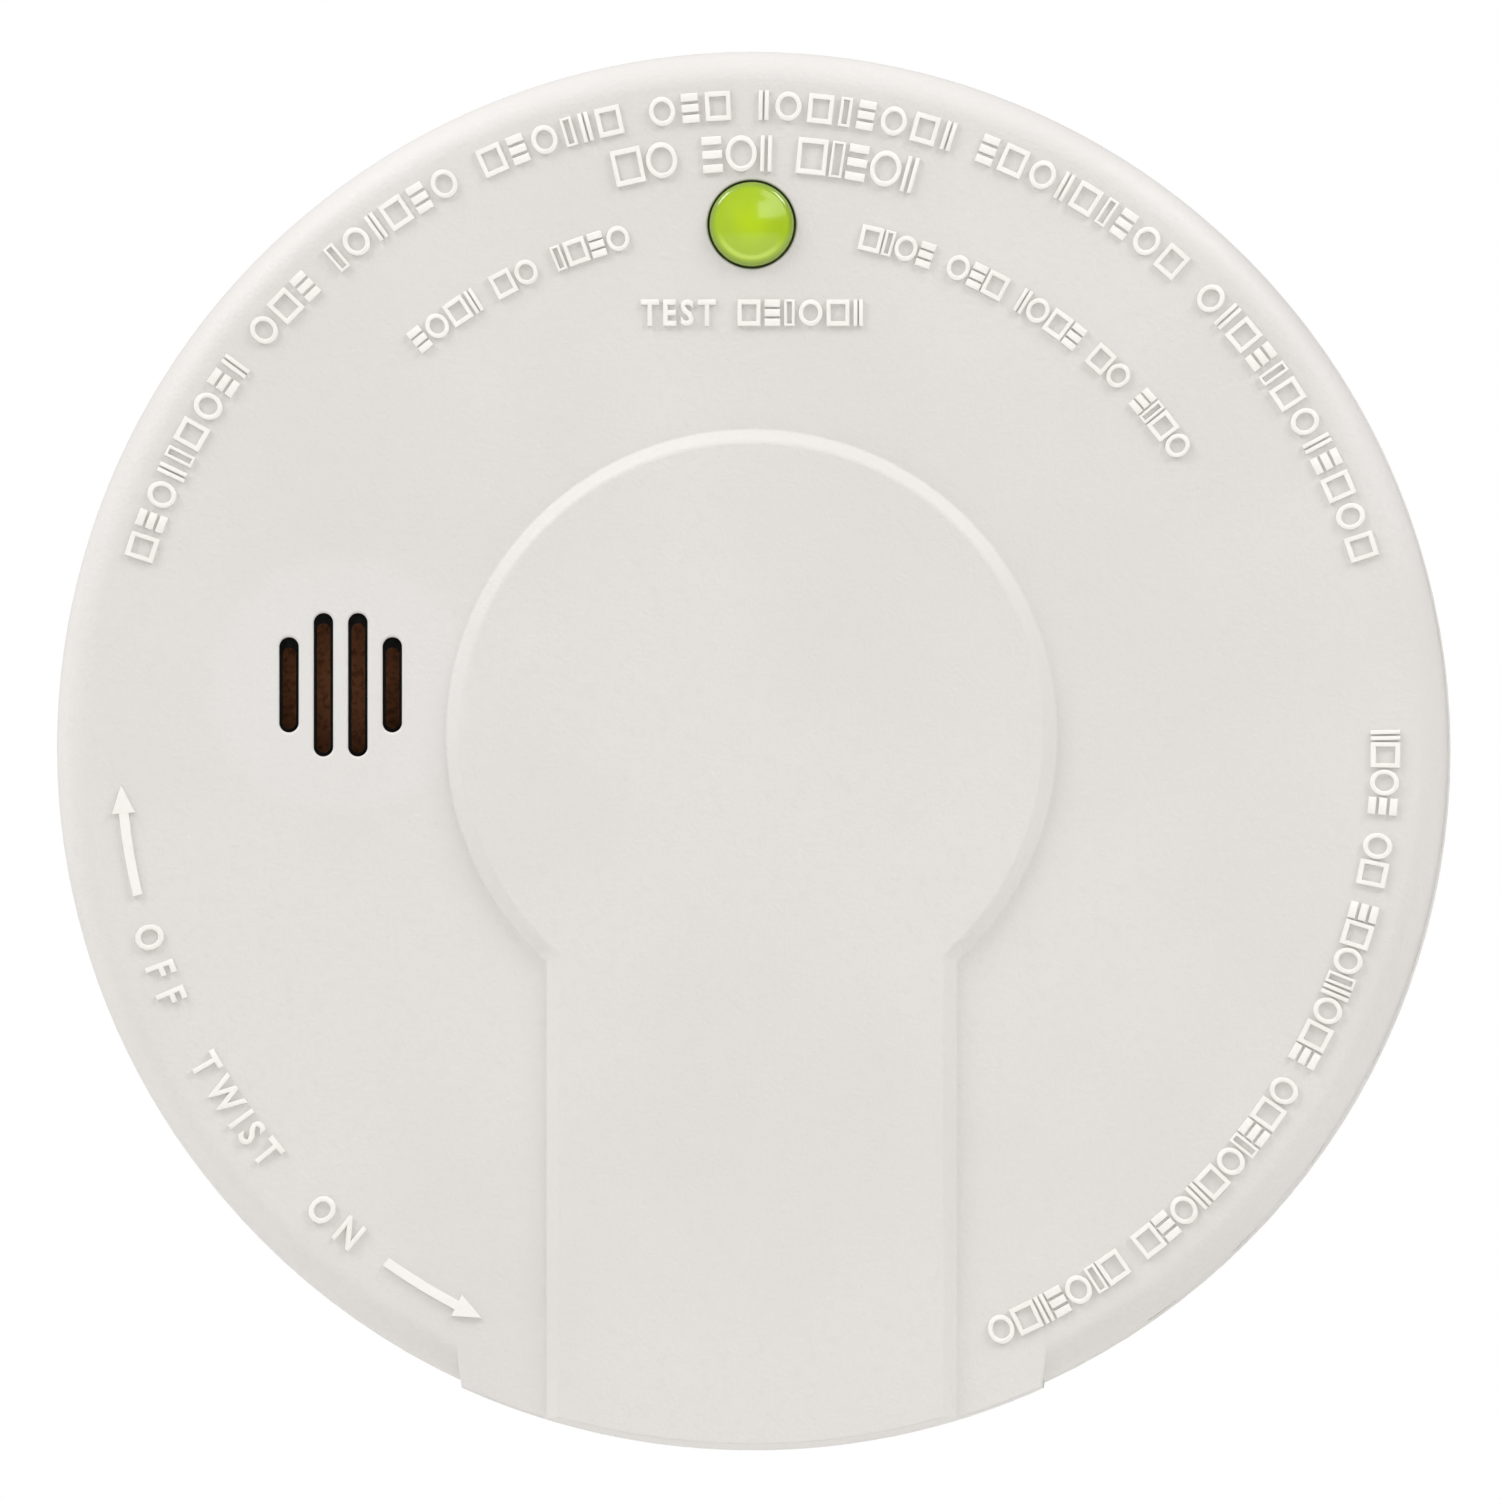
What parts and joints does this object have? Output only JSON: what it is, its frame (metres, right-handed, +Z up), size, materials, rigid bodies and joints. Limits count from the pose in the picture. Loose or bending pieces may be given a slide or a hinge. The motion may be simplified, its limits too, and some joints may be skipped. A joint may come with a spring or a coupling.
{
  "type": "smoke alarm",
  "caption": "Round battery smoke alarm on a twist-on bracket: warm white shell, raised keyhole panel, green test button, slotted sounder, battery well at the back.",
  "frame": {"origin": "middle of the mounting bracket's back, on the wall plane", "axes": "+Y into the wall, so the face looks to -Y; +Z up the face towards the test button; +X to the right as seen from the front"},
  "size_m": [0.142, 0.0413, 0.1425],
  "materials": {
    "shell_plastic": "fine spark-eroded texture, warm white ABS",
    "bracket_plastic": "plain moulded white ABS",
    "button_plastic": "polished translucent yellow-green acrylic",
    "label_film": "printed silver-white polyester label",
    "board_laminate": "solder-masked laminate",
    "plated_steel": "tin or nickel plated steel",
    "sheet_brass": "rolled brass",
    "white_ceramic": "fired ceramic and pale insulating resin",
    "black_plastic": "moulded black resin",
    "capacitor_sleeve": "shrunk blue sleeve",
    "dipped_resin": "dipped maroon resin",
    "resistor_lacquer": "beige lacquer with colour bands",
    "red_plastic": "moulded red plastic",
    "battery_wrap": "printed film jacket, plain charcoal with a copper band"
  },
  "bodies": {
    "bracket": {"mounting_bracket": "bracket_plastic"},
    "alarm": {"base_housing": "shell_plastic", "front_cover": "shell_plastic", "rating_label": "label_film", "circuit_board": "board_laminate", "board_screw_1": "plated_steel", "board_screw_2": "plated_steel", "board_screw_3": "plated_steel", "controller_chip": "black_plastic", "resistor_1": "resistor_lacquer", "resistor_2": "resistor_lacquer", "resistor_3": "resistor_lacquer", "resistor_4": "resistor_lacquer", "electrolytic_capacitor_1": "capacitor_sleeve", "electrolytic_capacitor_2": "capacitor_sleeve", "film_capacitor": "dipped_resin", "horn_inductor": "black_plastic", "diode": "dipped_resin", "status_lamp": "red_plastic", "switch_body": "black_plastic", "button_guide": "shell_plastic", "button_spring": "plated_steel", "resonator_housing": "black_plastic", "piezo_disc": "sheet_brass", "piezo_ceramic": "white_ceramic", "horn_contact_1": "plated_steel", "horn_contact_2": "plated_steel", "horn_contact_3": "plated_steel", "chamber_can": "plated_steel", "chamber_insulator": "white_ceramic", "collector_plate": "plated_steel", "source_holder": "plated_steel", "source_foil": "sheet_brass", "battery_contact_positive": "plated_steel", "battery_contact_negative": "plated_steel", "finger_pin": "plated_steel"},
    "button": {"test_button": "button_plastic", "switch_plunger": "black_plastic"},
    "battery": {"battery_case": "battery_wrap", "battery_end_cap": "black_plastic", "battery_terminal_positive": "plated_steel", "battery_terminal_negative": "plated_steel"},
    "finger": {"reminder_finger": "red_plastic", "finger_spring": "plated_steel"}
  },
  "joints": [
    {"name": "bracket_twist", "type": "hinge", "parent": "bracket", "child": "alarm", "pos_m": [0, 0, 0], "axis": [0, 1, 0], "range_deg": [0, 18]},
    {"name": "button_press", "type": "slide", "parent": "alarm", "child": "button", "axis": [0, 1, 0], "range_m": [0, 0.0012], "stiffness_N_per_m": 800, "springref_m": -0.0012, "deforming": ["button_spring"]},
    {"name": "battery_slide", "type": "slide", "parent": "alarm", "child": "battery", "axis": [0, 1, 0], "range_m": [0, 0.03]},
    {"name": "finger_swing", "type": "hinge", "parent": "alarm", "child": "finger", "pos_m": [-0.018, -0.027, -0.008], "axis": [0, 0, 1], "range_deg": [0, 48.5]}
  ],
  "couplings": [
    {"joint": "finger_swing", "follows": "battery_slide", "rad_per_m": 28}
  ]
}
